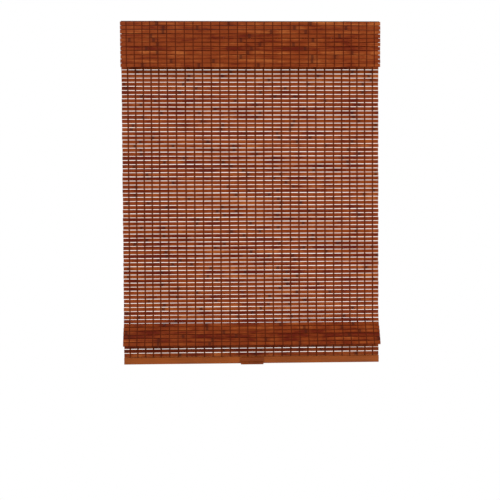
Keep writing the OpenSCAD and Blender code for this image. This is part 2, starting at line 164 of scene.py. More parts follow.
class ShadeStage(bpy.types.PropertyGroup):
    """Camera and floor."""

    place: bpy.props.FloatVectorProperty(
        name="Camera place", description="Where the camera stands",
        default=(-0.1304, -3.3, -0.6423), subtype="TRANSLATION")
    pitch: bpy.props.FloatProperty(
        name="Camera pitch", description="How far the camera looks down",
        default=math.radians(2.09), subtype="ANGLE")
    yaw: bpy.props.FloatProperty(
        name="Camera yaw", description="How far the camera looks to the right",
        default=math.radians(2.172), subtype="ANGLE")
    roll: bpy.props.FloatProperty(
        name="Camera roll", description="How far the camera leans clockwise",
        default=math.radians(0.303), subtype="ANGLE")
    focal_pixels: bpy.props.FloatProperty(
        name="Focal length", description="Focal length in pixels of a frame 500 wide", default=979.2)
    floor: bpy.props.FloatProperty(
        name="Floor", description="Height of the floor, below the brackets' upper face",
        default=-2.1, unit="LENGTH")
    floor_half: bpy.props.FloatProperty(
        name="Floor half width", description="Half the width of the floor", default=1.5, unit="LENGTH")


def linear(code):
    """Turns an sRGB hex value into linear colour."""
    parts = [int(code[i:i + 2], 16) / 255 for i in (0, 2, 4)]
    return tuple(c / 12.92 if c <= 0.04045 else ((c + 0.055) / 1.055) ** 2.4 for c in parts) + (1.0,)


def toned(colour, share):
    """A colour made darker or paler by a share."""
    return tuple(min(1.0, share * c) for c in colour[:3]) + (1.0,)


def cell_scale(x, y, z):
    """The scale of a pattern whose cells measure x, y and z millimetres."""
    return 1 / (x * MM), 1 / (y * MM), 1 / (z * MM)


def fill(tree, made, inputs):
    """Fills a node's sockets with values, or with links from a socket or another node's first output."""
    for key, value in inputs.items():
        if isinstance(value, bpy.types.Node):
            value = value.outputs[0]
        if isinstance(value, bpy.types.NodeSocket):
            tree.links.new(value, made.inputs[key])
        else:
            made.inputs[key].default_value = value
    return made


def add(tree, kind, inputs=None, **settings):
    """Adds a node with its settings, and fills its sockets."""
    made = tree.nodes.new(kind)
    for key, value in settings.items():
        setattr(made, key, value)
    return fill(tree, made, inputs or {})


def ramp_stops(made, stops):
    """Sets the stops of a colour ramp from pairs of a place and a colour or grey level."""
    band = made.color_ramp
    while len(band.elements) < len(stops):
        band.elements.new(0.5)
    for element, (place, colour) in zip(band.elements, stops):
        element.position = place
        element.color = colour if isinstance(colour, tuple) else (colour, colour, colour, 1.0)
    return made


def new_material(name):
    """An empty node material with its shader and output."""
    material = bpy.data.materials.new(name)
    material.use_nodes = True
    tree = material.node_tree
    tree.nodes.clear()
    shader = add(tree, "ShaderNodeBsdfPrincipled")
    add(tree, "ShaderNodeOutputMaterial", {"Surface": shader})
    return material, tree, shader


# Split bamboo, dipped in a red-brown stain and rubbed. The stain pools in the nodes and along the
# fibres, so each slat has its own tone, dark rings and long streaks under a satin skin.
# mats are also drawn darker or paler as painted shade and highlight, and slats that hang free get a painted
# glow on their edges
def stained_bamboo(colours):
    material, tree, shader = new_material("stained_split_bamboo")
    mid, dark, pale = linear(colours.bamboo), linear(colours.bamboo_dark), linear(colours.bamboo_light)
    place = add(tree, "ShaderNodeTexCoord").outputs["Object"]
    # tone holds each slat's random tone plus the painted shade of its mat, and free marks the slats that get
    # the painted edge glow
    seed, across, tone, free = (
        add(tree, "ShaderNodeAttribute", attribute_name=label).outputs["Fac"]
        for label in ("slat_seed", "across", "tone", "free"))
    length = add(tree, "ShaderNodeSeparateXYZ", {0: place}).outputs["X"]
    # spreads the slats so far apart in each pattern that no two look alike
    own = add(tree, "ShaderNodeMath", {0: seed, 1: 71.0}, operation="MULTIPLY")

    # length and width of each pattern's cells in mm, and its detail and roughness
    patterns = {
        # fibres about 1 mm wide and 125 mm long
        "fibre": (125, 10 / 9, 3.0, 0.6),
        # streaks of stain along bundles of fibres, about 3 mm wide and 100 mm long
        "streak": (100, 10 / 3, 2.0, 0.6),
        # blotches where the stain soaked in, about 22 mm long and a third of a slat wide
        "blotch": (200 / 9, 25 / 6, 2.0, 0.55),
        # short dark flecks, about 1.5 mm by 12 mm
        "fleck": (200 / 17, 20 / 13, 1.0, 0.5),
    }
    layers = {}
    for label, (long, wide, detail, roughness) in patterns.items():
        spot = add(tree, "ShaderNodeMapping", {"Vector": place, "Scale": cell_scale(long, wide, wide)})
        layers[label] = add(tree, "ShaderNodeTexNoise", {
            "Vector": spot, "W": own, "Scale": 1.0, "Detail": detail, "Roughness": roughness},
            noise_dimensions="4D")
    # stain that comes and goes along a slat over about 90 mm
    spot = add(tree, "ShaderNodeCombineXYZ", {"X": length, "Y": own})
    spot = add(tree, "ShaderNodeMapping", {"Vector": spot, "Scale": (1 / (1000 / 11 * MM), 1.0, 1.0)})
    layers["drift"] = add(tree, "ShaderNodeTexNoise", {
        "Vector": spot, "Scale": 1.0, "Detail": 2.5, "Roughness": 0.62}, noise_dimensions="2D")
    # nodes of the cane, about 260 mm apart, as dark rings with a soft edge of stain
    ring = add(tree, "ShaderNodeMath", {0: length, 1: 1 / (259.74 * MM), 2: own}, operation="MULTIPLY_ADD")
    ring = add(tree, "ShaderNodeTexVoronoi", {"W": ring, "Scale": 1.0, "Randomness": 0.9},
               voronoi_dimensions="1D")
    ring_mark = ramp_stops(add(tree, "ShaderNodeValToRGB", {"Fac": ring}), [
        (0.0, 0.6), (0.009, 0.9), (0.02, 0.25), (0.07, 0.0)])
    fleck_mark = ramp_stops(add(tree, "ShaderNodeValToRGB", {"Fac": layers["fleck"]}), [
        (0.60, 0.0), (0.70, 0.55)])
    # the split edges take more stain than the face
    rim = add(tree, "ShaderNodeMath", {0: across}, operation="ABSOLUTE")
    rim_mark = ramp_stops(add(tree, "ShaderNodeValToRGB", {"Fac": rim}), [(0.40, 0.0), (0.5, 0.4)])
    # where the mat hangs free, a pale rim about 1 mm wide is painted on the slats' edges: a painted glow of
    # the light that comes through beside them
    glow_mark = ramp_stops(add(tree, "ShaderNodeValToRGB", {"Fac": rim}), [(0.42, 0.0), (0.5, 0.9)])
    glow_mark = add(tree, "ShaderNodeMath", {0: glow_mark, 1: free}, operation="MULTIPLY")

    # each layer lies about a half, and so does the tone once their surplus is taken off
    shares = {"drift": 1.2, "streak": 1.4, "blotch": 0.6, "fibre": 0.6}
    surplus = sum(shares.values()) / 2 - 0.5
    tone = add(tree, "ShaderNodeMath", {0: tone, 1: surplus}, operation="SUBTRACT")
    for label, share in shares.items():
        tone = add(tree, "ShaderNodeMath", {0: layers[label], 1: share, 2: tone}, operation="MULTIPLY_ADD")
    skin = ramp_stops(add(tree, "ShaderNodeValToRGB", {"Fac": tone}), [
        (0.12, dark), (0.42, mid), (0.60, mid), (0.95, pale)])
    for mark, colour in ((ring_mark, linear(colours.bamboo_node)), (fleck_mark, dark), (rim_mark, dark),
                         (glow_mark, linear(colours.bamboo_edge_glow))):
        skin = add(tree, "ShaderNodeMix", {"Factor": mark, MIX_A: skin, MIX_B: colour},
                   data_type="RGBA").outputs[MIX_RESULT]

    rough = add(tree, "ShaderNodeMapRange", {"Value": layers["fibre"], "To Min": 0.45, "To Max": 0.7})
    relief = add(tree, "ShaderNodeMath", {0: ring_mark, 1: 0.8, 2: layers["fibre"]},
                 operation="MULTIPLY_ADD")
    bump = add(tree, "ShaderNodeBump", {"Height": relief, "Strength": 0.45, "Distance": 0.35 * MM})
    fill(tree, shader, {"Base Color": skin, "Roughness": rough, "Normal": bump, "Specular IOR Level": 0.1})
    return material


# Dyed cotton yarns laid side by side in a flat band, dull and slightly fuzzy.
def cotton_warp(colours):
    material, tree, shader = new_material("dyed_cotton_warp")
    base = linear(colours.warp)
    place = add(tree, "ShaderNodeTexCoord").outputs["Object"]
    across = add(tree, "ShaderNodeAttribute", attribute_name="across").outputs["Fac"]
    height = add(tree, "ShaderNodeSeparateXYZ", {0: place}).outputs["Z"]
    # yarns in a band, and the length in which they twist once
    yarns, twist = 4, 3 * MM
    lay = add(tree, "ShaderNodeMath", {0: height, 1: FULL_TURN / twist}, operation="MULTIPLY")
    turn = add(tree, "ShaderNodeMath", {0: across, 1: FULL_TURN * yarns, 2: lay}, operation="MULTIPLY_ADD")
    wave = add(tree, "ShaderNodeMath", {0: turn}, operation="SINE")
    # fuzz about 1.4 mm wide and 4 mm long
    spot = add(tree, "ShaderNodeMapping", {"Vector": place, "Scale": cell_scale(10 / 7, 10 / 7, 4)})
    fuzz = add(tree, "ShaderNodeTexNoise", {"Vector": spot, "Scale": 1.0, "Detail": 2.0})
    mixed = add(tree, "ShaderNodeMath", {0: wave, 1: 0.18, 2: fuzz}, operation="MULTIPLY_ADD")
    body = ramp_stops(add(tree, "ShaderNodeValToRGB", {"Fac": mixed}), [
        (0.2, toned(base, 0.5)), (0.75, toned(base, 1.5))])
    bump = add(tree, "ShaderNodeBump", {"Height": mixed, "Strength": 0.6, "Distance": 0.3 * MM})
    fill(tree, shader, {"Base Color": body, "Roughness": 0.9, "Normal": bump, "Specular IOR Level": 0.1})
    return material


# Planed softwood strip under a wiping stain: straight grain along X, soft satin gloss.
def stained_strip(name, code, dark_share, pale_share):
    material, tree, shader = new_material(name)
    base = linear(code)
    place = add(tree, "ShaderNodeTexCoord").outputs["Object"]
    # length and width of each pattern's cells in mm, its detail, roughness, distortion and share of the tone
    patterns = {
        # clouds where the stain was wiped thinner, 25 mm wide and about 110 mm long
        "cloud": (1000 / 9, 25, 2.0, 0.5, 0.0, 0.4),
        # growth lines about 3 mm apart that run 200 mm before they wander
        "grain": (200, 100 / 33, 4.0, 0.55, 0.4, 0.45),
        # pores, drawn as coarse as they need to show: about 0.7 mm wide and 14 mm long
        "pore": (100 / 7, 2 / 3, 2.0, 0.5, 0.0, 0.15),
    }
    layers, tone = {}, 0.0
    for label, (long, wide, detail, roughness, distortion, share) in patterns.items():
        spot = add(tree, "ShaderNodeMapping", {"Vector": place, "Scale": cell_scale(long, wide, wide)})
        layers[label] = add(tree, "ShaderNodeTexNoise", {
            "Vector": spot, "Scale": 1.0, "Detail": detail, "Roughness": roughness, "Distortion": distortion})
        tone = add(tree, "ShaderNodeMath", {0: layers[label], 1: share, 2: tone}, operation="MULTIPLY_ADD")
    body = ramp_stops(add(tree, "ShaderNodeValToRGB", {"Fac": tone}), [
        (0.30, toned(base, dark_share)), (0.5, base), (0.70, toned(base, pale_share))])
    rough = add(tree, "ShaderNodeMapRange", {"Value": layers["pore"], "To Min": 0.38, "To Max": 0.56})
    bump = add(tree, "ShaderNodeBump", {"Height": layers["pore"], "Strength": 0.25, "Distance": 0.2 * MM})
    fill(tree, shader, {"Base Color": body, "Roughness": rough, "Normal": bump, "Specular IOR Level": 0.2})
    return material


# A moulded, painted, plated or drawn surface: a base tone with a fine texture. Grit and relief are in mm,
# stretch draws the grit out along X, and shift is how far the tone strays to each side.
def worked_surface(name, code, roughness, grit, relief, shift, metallic=0.0, stretch=1.0):
    material, tree, shader = new_material(name)
    base = linear(code)
    place = add(tree, "ShaderNodeTexCoord").outputs["Object"]
    spot = add(tree, "ShaderNodeMapping", {"Vector": place, "Scale": cell_scale(grit * stretch, grit, grit)})
    texture = add(tree, "ShaderNodeTexNoise", {"Vector": spot, "Scale": 1.0, "Detail": 3.0})
    body = ramp_stops(add(tree, "ShaderNodeValToRGB", {"Fac": texture}), [
        (0.3, toned(base, 1 - shift)), (0.7, toned(base, 1 + shift))])
    low, high = roughness
    rough = add(tree, "ShaderNodeMapRange", {"Value": texture, "To Min": low, "To Max": high})
    bump = add(tree, "ShaderNodeBump", {"Height": texture, "Strength": 0.3, "Distance": relief * MM})
    fill(tree, shader, {"Base Color": body, "Roughness": rough, "Normal": bump, "Metallic": metallic})
    if not metallic:
        fill(tree, shader, {"Specular IOR Level": 0.25})
    return material


# Hook and loop tape: a woven nylon ground covered in tiny loops, with no shine at all.
def looped_tape():
    material, tree, shader = new_material("looped_nylon_tape")
    place = add(tree, "ShaderNodeTexCoord").outputs["Object"]
    # loops about 1.2 mm apart
    loop = add(tree, "ShaderNodeTexVoronoi", {"Vector": place, "Scale": 1 / (1.2 * MM)})
    body = ramp_stops(add(tree, "ShaderNodeValToRGB", {"Fac": loop}), [
        (0.1, linear("4A2616")), (0.7, linear("2A140B"))])
    bump = add(tree, "ShaderNodeBump", {"Height": loop, "Strength": 0.8, "Distance": 0.4 * MM}, invert=True)
    fill(tree, shader, {"Base Color": body, "Roughness": 0.95, "Normal": bump})
    return material


# Braided polyester lift cord: a diamond braid with a soft sheen.
def braided_cord():
    material, tree, shader = new_material("braided_lift_cord")
    around, along = (add(tree, "ShaderNodeAttribute", attribute_name=label).outputs["Fac"]
                     for label in ("around", "along"))
    # carriers that go each way, and the length in which they go round once
    carriers, lead = 4, 6 * MM
    lay = add(tree, "ShaderNodeMath", {0: along, 1: FULL_TURN / lead}, operation="MULTIPLY")
    back = add(tree, "ShaderNodeMath", {0: lay, 1: -1.0}, operation="MULTIPLY")
    waves = []
    for way in (lay, back):
        turn = add(tree, "ShaderNodeMath", {0: around, 1: FULL_TURN * carriers, 2: way},
                   operation="MULTIPLY_ADD")
        waves.append(add(tree, "ShaderNodeMath", {0: turn}, operation="SINE"))
    braid = add(tree, "ShaderNodeMath", {0: waves[0], 1: waves[1]}, operation="MULTIPLY")
    body = ramp_stops(add(tree, "ShaderNodeValToRGB", {"Fac": braid}), [
        (0.0, linear("2C170D")), (0.8, linear("5A3420"))])
    bump = add(tree, "ShaderNodeBump", {"Height": braid, "Strength": 0.5, "Distance": 0.2 * MM})
    fill(tree, shader, {"Base Color": body, "Roughness": 0.7, "Normal": bump})
    return material


def linked(name, data):
    """An object for some data, linked to the scene."""
    piece = bpy.data.objects.new(name, data)
    bpy.context.scene.collection.objects.link(piece)
    return piece


def new_tree(name, sizes):
    """A geometry node tree with a named input for each size, and the sockets of its inputs."""
    tree = bpy.data.node_groups.new(name, "GeometryNodeTree")
    tree.interface.new_socket("Geometry", in_out="INPUT", socket_type="NodeSocketGeometry")
    for label, default in sizes.items():
        kind = "NodeSocketInt" if isinstance(default, int) else "NodeSocketFloat"
        tree.interface.new_socket(label, in_out="INPUT", socket_type=kind).default_value = default
    tree.interface.new_socket("Geometry", in_out="OUTPUT", socket_type="NodeSocketGeometry")
    return tree, add(tree, "NodeGroupInput").outputs


def realise(name, verts, edges, attributes, tree, sizes):
    """Runs a geometry node tree on a base mesh, and returns its result as an object with a plain mesh."""
    base = bpy.data.meshes.new(name)
    base.from_pydata(verts, edges, [])
    for label, values in attributes.items():
        base.attributes.new(label, "FLOAT", "POINT").data.foreach_set("value", values)
    piece = linked(name, base)
    modifier = piece.modifiers.new("weave", "NODES")
    modifier.node_group = tree
    for item in tree.interface.items_tree:
        if item.in_out == "INPUT" and item.name in sizes:
            modifier[item.identifier] = sizes[item.name]
    bpy.context.view_layer.update()
    seen = piece.evaluated_get(bpy.context.evaluated_depsgraph_get())
    mesh = bpy.data.meshes.new_from_object(seen)
    piece.modifiers.remove(modifier)
    piece.data = mesh
    mesh.name = name
    bpy.data.meshes.remove(base)
    return piece


def slat_tree(material, sizes):
    """One rounded slat on each point, leaning as the point says, each with its own wander and seed."""
    tree, size = new_tree("Bamboo slats", sizes)
    half = add(tree, "ShaderNodeMath", {0: size["Length"], 1: 0.5}, operation="MULTIPLY")
    minus = add(tree, "ShaderNodeMath", {0: half, 1: -1.0}, operation="MULTIPLY")
    start = add(tree, "ShaderNodeCombineXYZ", {"X": minus})
    end = add(tree, "ShaderNodeCombineXYZ", {"X": half})
    spine = add(tree, "GeometryNodeCurvePrimitiveLine", {"Start": start, "End": end})
    # a section about every 19 mm carries the wander
    spine = add(tree, "GeometryNodeResampleCurve", {"Curve": spine, "Count": 46})
    profile = add(tree, "GeometryNodeCurvePrimitiveQuadrilateral", {
        "Width": size["Thickness"], "Height": size["Width"]})
    profile = add(tree, "GeometryNodeFilletCurve", {
        "Curve": profile, "Count": 2, "Radius": size["Edge radius"]}, mode="POLY")
    slat = add(tree, "GeometryNodeCurveToMesh", {
        "Curve": spine, "Profile Curve": profile, "Fill Caps": True})
    local = add(tree, "ShaderNodeSeparateXYZ", {0: add(tree, "GeometryNodeInputPosition")})
    share = add(tree, "ShaderNodeMath", {0: local.outputs["Z"], 1: size["Width"]}, operation="DIVIDE")
    slat = add(tree, "GeometryNodeStoreNamedAttribute", {
        "Geometry": slat, "Name": "across", "Value": share}, data_type="FLOAT", domain="POINT")

    lean, own, side = (
        add(tree, "GeometryNodeInputNamedAttribute", {"Name": label}, data_type="FLOAT")
        for label in ("lean", "slat_seed", "across"))
    turn = add(tree, "ShaderNodeCombineXYZ", {"X": lean})
    turn = add(tree, "FunctionNodeEulerToRotation", {0: turn})
    rows = add(tree, "GeometryNodeInstanceOnPoints", {
        "Points": size["Geometry"], "Instance": slat, "Rotation": turn})
    chance = add(tree, "FunctionNodeRandomValue", {"Seed": size["Seed"]}, data_type="FLOAT")
    rows = add(tree, "GeometryNodeStoreNamedAttribute", {
        "Geometry": rows, "Name": "slat_seed", "Value": chance.outputs[RANDOM_RESULT]},
        data_type="FLOAT", domain="INSTANCE")
    real = add(tree, "GeometryNodeRealizeInstances", {0: rows})

    # a slat strays up and down, bows in and out, and is wider here than there
    x = add(tree, "ShaderNodeSeparateXYZ", {0: add(tree, "GeometryNodeInputPosition")}).outputs["X"]
    waves = []
    # waves in a metre, and how far these three and the slats lie apart in the noise
    slats_apart = 97.0
    for per_metre, apart in ((3.5, 0.0), (2.5, 17.0), (11.0, 31.0)):
        along = add(tree, "ShaderNodeMath", {0: x, 1: per_metre}, operation="MULTIPLY")
        line = add(tree, "ShaderNodeMath", {0: own, 1: slats_apart, 2: apart}, operation="MULTIPLY_ADD")
        at = add(tree, "ShaderNodeCombineXYZ", {"X": along, "Y": line})
        noise = add(tree, "ShaderNodeTexNoise", {"Vector": at, "Scale": 1.0, "Detail": 1.0},
                    noise_dimensions="2D")
        even = add(tree, "ShaderNodeMath", {0: noise, 1: 4.0, 2: -2.0}, operation="MULTIPLY_ADD")
        waves.append(add(tree, "ShaderNodeMath", {0: even, 1: size["Wander"]}, operation="MULTIPLY"))
    swell = add(tree, "ShaderNodeMath", {0: waves[2], 1: side}, operation="MULTIPLY")
    rise = add(tree, "ShaderNodeMath", {0: waves[0], 1: swell}, operation="ADD")
    bow = add(tree, "ShaderNodeMath", {0: waves[1], 1: 0.4}, operation="MULTIPLY")
    # slats differ by up to 0.3 percent in length
    centred = add(tree, "ShaderNodeMath", {0: own, 1: 0.5}, operation="SUBTRACT")
    reach = add(tree, "ShaderNodeMath", {0: centred, 1: 0.003}, operation="MULTIPLY")
    stretch = add(tree, "ShaderNodeMath", {0: x, 1: reach}, operation="MULTIPLY")
    shift = add(tree, "ShaderNodeCombineXYZ", {"X": stretch, "Y": bow, "Z": rise})
    shift = add(tree, "ShaderNodeVectorRotate", {"Vector": shift, "Angle": lean}, rotation_type="X_AXIS")
    real = add(tree, "GeometryNodeSetPosition", {"Geometry": real, "Offset": shift})

    # edges that turn by more than this, in radians, stay sharp
    sharp_angle = 0.3
    angle = add(tree, "GeometryNodeInputMeshEdgeAngle")
    sharp = add(tree, "FunctionNodeCompare", {0: angle, 1: sharp_angle},
                data_type="FLOAT", operation="GREATER_THAN")
    real = add(tree, "GeometryNodeSetShadeSmooth", {
        "Geometry": real, "Selection": sharp, "Shade Smooth": False}, domain="EDGE")
    done = add(tree, "GeometryNodeSetMaterial", {"Geometry": real, "Material": material})
    add(tree, "NodeGroupOutput", {0: done})
    return tree


def warp_tree(material, sizes):
    """Sweeps the two yarn bands of a warp along their path, and repeats them across the mat."""
    tree, size = new_tree("Warp bands", sizes)
    path = add(tree, "GeometryNodeMeshToCurve", {0: size["Geometry"]})
    path = add(tree, "GeometryNodeSetCurveNormal", {"Curve": path, "Normal": (1, 0, 0)}, mode="FREE")
    # a circle 1 across, made as wide and as thick as the band
    profile = add(tree, "GeometryNodeCurvePrimitiveCircle", {"Resolution": 6, "Radius": 0.5})
    flat = add(tree, "ShaderNodeCombineXYZ", {
        "X": size["Band width"], "Y": size["Band thickness"], "Z": 1.0})
    profile = add(tree, "GeometryNodeTransform", {"Geometry": profile, "Scale": flat})
    band = add(tree, "GeometryNodeCurveToMesh", {
        "Curve": path, "Profile Curve": profile, "Fill Caps": True})
    x = add(tree, "ShaderNodeSeparateXYZ", {0: add(tree, "GeometryNodeInputPosition")}).outputs["X"]
    share = add(tree, "ShaderNodeMath", {0: x, 1: size["Band width"]}, operation="DIVIDE")
    band = add(tree, "GeometryNodeStoreNamedAttribute", {
        "Geometry": band, "Name": "across", "Value": share}, data_type="FLOAT", domain="POINT")

    # closer warps at both edges, wider ones between
    edge, inner = size["Edge pitches"], size["Inner pitches"]
    count = add(tree, "ShaderNodeMath", {0: edge, 1: 2.0, 2: inner}, operation="MULTIPLY_ADD")
    count = add(tree, "ShaderNodeMath", {0: count, 1: 1.0}, operation="ADD")
    index = add(tree, "GeometryNodeInputIndex")
    low = add(tree, "ShaderNodeMath", {0: index, 1: edge}, operation="MINIMUM")
    past = add(tree, "ShaderNodeMath", {0: index, 1: edge}, operation="SUBTRACT")
    past = add(tree, "ShaderNodeMath", {0: past, 1: 0.0}, operation="MAXIMUM")
    between = add(tree, "ShaderNodeMath", {0: past, 1: inner}, operation="MINIMUM")
    high = add(tree, "ShaderNodeMath", {0: past, 1: inner}, operation="SUBTRACT")
    high = add(tree, "ShaderNodeMath", {0: high, 1: 0.0}, operation="MAXIMUM")
    outer = add(tree, "ShaderNodeMath", {0: low, 1: high}, operation="ADD")
    outer = add(tree, "ShaderNodeMath", {0: outer, 1: size["Edge pitch"]}, operation="MULTIPLY")
    run = add(tree, "ShaderNodeMath", {0: between, 1: size["Inner pitch"], 2: outer},
              operation="MULTIPLY_ADD")
    first = add(tree, "ShaderNodeMath", {0: size["Mat width"], 1: -0.5, 2: size["Inset"]},
                operation="MULTIPLY_ADD")
    run = add(tree, "ShaderNodeMath", {0: run, 1: first}, operation="ADD")
    # no warp lies quite at its place
    stray = 0.7 * MM
    stray = add(tree, "FunctionNodeRandomValue", {
        RANDOM_MIN: -stray, RANDOM_MAX: stray, "Seed": size["Seed"]}, data_type="FLOAT")
    run = add(tree, "ShaderNodeMath", {0: run, 1: stray.outputs[RANDOM_RESULT]}, operation="ADD")
    spot = add(tree, "ShaderNodeCombineXYZ", {"X": run})
    spots = add(tree, "GeometryNodePoints", {"Count": count, "Position": spot})
    warps = add(tree, "GeometryNodeInstanceOnPoints", {"Points": spots, "Instance": band})
    real = add(tree, "GeometryNodeRealizeInstances", {0: warps})
    real = add(tree, "GeometryNodeSetShadeSmooth", {"Geometry": real, "Shade Smooth": True})
    done = add(tree, "GeometryNodeSetMaterial", {"Geometry": real, "Material": material})
    add(tree, "NodeGroupOutput", {0: done})
    return tree


def run_of_rows(start, lean, rows, pitch, lead):
    """Places of the slats on a straight run of mat: (y, z, lean). A lean of 0 hangs straight down."""
    step = Vector((math.sin(lean), -math.cos(lean)))
    return [(*(start + step * (lead + (i + 0.5) * pitch)), lean) for i in range(rows)]


def fold_runs(sizes, mat_y, top):
    """The rows of the fold's front, its back and the tail, in the order the mat takes."""
    front = sizes.front_rows * sizes.pitch + sizes.hinge_room
    back = sizes.back_rows * sizes.pitch + sizes.fold_room
    start = Vector((mat_y, top))
    down = Vector((-math.sin(sizes.fold_lean), -math.cos(sizes.fold_lean)))
    turn = start + down * front + Vector((-down.y, down.x)) * sizes.fold_gap
    back_lean = math.asin((mat_y - turn.x) / back)
    tail = Vector((mat_y, turn.y + back * math.cos(back_lean)))
    return (run_of_rows(start, -sizes.fold_lean, sizes.front_rows, sizes.pitch, sizes.hinge_room)
            + run_of_rows(turn, math.pi - back_lean, sizes.back_rows, sizes.pitch, 0.0)
            + run_of_rows(tail, 0.0, sizes.tail_rows, sizes.pitch, sizes.tail_room))


def warp_paths(rows, sizes, thickness, start, end):
    """Two bands that pass each slat on opposite faces, and lie side by side in every gap and turn."""
    verts, edges = [], []
    # a band leaves a slat's face before its edge, and is pressed slightly into the face
    reach = 0.40 * sizes.slat_width
    off = 0.5 * thickness + 0.42 * sizes.warp_thickness
    bulge = 0.5 * (sizes.slat_width + sizes.slat_gap + sizes.fold_gap) - reach
    for band in (1, -1):
        first = len(verts)
        beside = 0.5 * sizes.warp_width * band
        if start:
            verts.append((beside, start[0], start[1]))
        before = way = None
        for i, (y, z, lean) in enumerate(rows):
            face = band if i % 2 else -band
            down = Vector((math.sin(lean), -math.cos(lean)))
            out = Vector((-math.cos(lean), -math.sin(lean)))
            places = [Vector((y, z)) + down * place + out * off * face for place in (-reach, reach)]
            if before:
                gap = (before + places[0]) / 2 + (way - down) / 2 * bulge
                verts.append((beside, gap.x, gap.y))
            verts += [(0.0, spot.x, spot.y) for spot in places]
            before, way = places[1], down
        if end:
            verts.append((beside, end[0], end[1]))
        edges += [(k, k + 1) for k in range(first, len(verts) - 1)]
    return verts, edges


def row_tones(count, shift, spread, seed, own=()):
    """How much lighter or darker each slat of a mat is: a random tone plus shift, which the mats use for
    painted shade and highlight; own holds the rows that stand out.
    """
    chance = random.Random(seed)
    tones_and_shading = [shift + chance.gauss(0.0, spread) for row in range(count)]
    for row, change in own:
        tones_and_shading[row] = shift + change
    return tones_and_shading


def weave(name, node, body, rows, tones_and_shading, free, seed, start=None, end=None):
    """Builds a mat's slats and warps, rides both on a body and lets them stand for a CAD node.

    free is 1 for each row that hangs free of other layers and gets the painted edge glow, and 0 for the rest.
    start and end are where the warps run on to, past the first and the last slat.
    """
    sizes = bpy.context.scene.shade_sizes
    low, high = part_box(node)
    width = high.x - low.x
    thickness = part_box("valance")[1].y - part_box("valance")[0].y
    slat_sizes = {
        "Length": width, "Width": sizes.slat_width, "Thickness": thickness, "Edge radius": sizes.slat_edge,
        "Wander": sizes.slat_wander, "Seed": seed}
    slats = realise(
        name + "_slats", [(0.0, y, z) for y, z, lean in rows], [],
        {"lean": [lean for y, z, lean in rows], "tone": tones_and_shading, "free": free},
        slat_tree(finish("bamboo"), slat_sizes), slat_sizes)
    verts, edges = warp_paths(rows, sizes, thickness, start, end)
    inner = width - 2 * sizes.warp_inset - 2 * sizes.warp_edge_count * sizes.warp_edge_pitch
    warp_sizes = {
        "Mat width": width, "Inset": sizes.warp_inset, "Edge pitch": sizes.warp_edge_pitch,
        "Edge pitches": sizes.warp_edge_count, "Inner pitch": inner / sizes.warp_inner_count,
        "Inner pitches": sizes.warp_inner_count, "Band width": sizes.warp_width,
        "Band thickness": sizes.warp_thickness, "Seed": seed}
    warps = realise(name + "_warps", verts, edges, {}, warp_tree(finish("warp"), warp_sizes), warp_sizes)
    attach(slats, body)
    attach(warps, body)
    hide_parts(node)
    return slats, warps


MADE = {}


def finish(name):
    """A finish by its short name, made once."""
    if name not in MADE:
        colours = bpy.context.scene.shade_colours
        makers = {
            "bamboo": lambda: stained_bamboo(colours),
            "warp": lambda: cotton_warp(colours),
            "hem": lambda: stained_strip("stained_hem_wood", colours.hem, dark_share=0.55, pale_share=1.35),
            "handle": lambda: stained_strip(
                "stained_handle_wood", colours.handle, dark_share=0.5, pale_share=1.3),
            # roll-formed steel with a baked brown paint: smooth, with a faint orange peel
            "steel": lambda: worked_surface(
                "brown_painted_steel", "3E2013", roughness=(0.5, 0.62), grit=2.5, relief=0.05, shift=0.08),
            # zinc-plated steel: pale grey, drawn along its length, with a cloudy sheen
            "zinc": lambda: worked_surface(
                "zinc_plated_steel", "B9BAB8", roughness=(0.3, 0.5), grit=0.8, relief=0.03, shift=0.12,
                metallic=1.0, stretch=6.0),
            # cold-drawn spring steel: bright, with fine lines along the bar
            "spring": lambda: worked_surface(
                "drawn_spring_steel", "9AA0A6", roughness=(0.22, 0.42), grit=0.5, relief=0.03, shift=0.15,
                metallic=1.0, stretch=30.0),
            # moulded acetal: ivory, waxy and slightly mottled
            "acetal": lambda: worked_surface(
                "moulded_ivory_acetal", "DDD3BA", roughness=(0.35, 0.5), grit=1.5, relief=0.04, shift=0.04),
            # moulded nylon with a fine spark-eroded texture
            "nylon": lambda: worked_surface(
                "moulded_brown_nylon", "40200F", roughness=(0.5, 0.7), grit=0.6, relief=0.08, shift=0.15),
            "tape": looped_tape,
            "cord": braided_cord,
        }
        MADE[name] = makers[name]()
    return MADE[name]


def dress(names, finish_name):
    """Gives carried-over CAD nodes a finish."""
    for name in names:
        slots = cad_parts[name].data.materials
        slots.clear()
        slots.append(finish(finish_name))


class ROMAN_SHADE_OT_panel(bpy.types.Operator):
    """Weaves the flat panel and rides it on the headrail; the real panel gathers up to its batten as the
    shade rises
    """

    bl_idname = "roman_shade.panel"
    bl_label = "Weave the panel"

    seed = 3

    def execute(self, context):
        sizes = context.scene.shade_sizes
        length = sizes.panel_rows * sizes.pitch
        low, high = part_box("shade_panel")
        middle = (low.y + high.y) / 2
        rows = run_of_rows(Vector((middle, high.z)), 0.0, sizes.panel_rows, sizes.pitch, 0.0)
        # the panel's slats are drawn darker than the valance's: painted shade for the panel hanging back
        # behind the valance
        tones_and_shading = row_tones(len(rows), shift=-0.05, spread=0.09, seed=self.seed)
        # every panel row hangs free, so every slat gets the painted edge glow
        free = [1.0] * len(rows)
        end = (middle, high.z - length)
        for piece in weave("panel", "shade_panel", "headrail", rows, tones_and_shading, free, self.seed, end=end):
            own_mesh(piece)
        return {"FINISHED"}


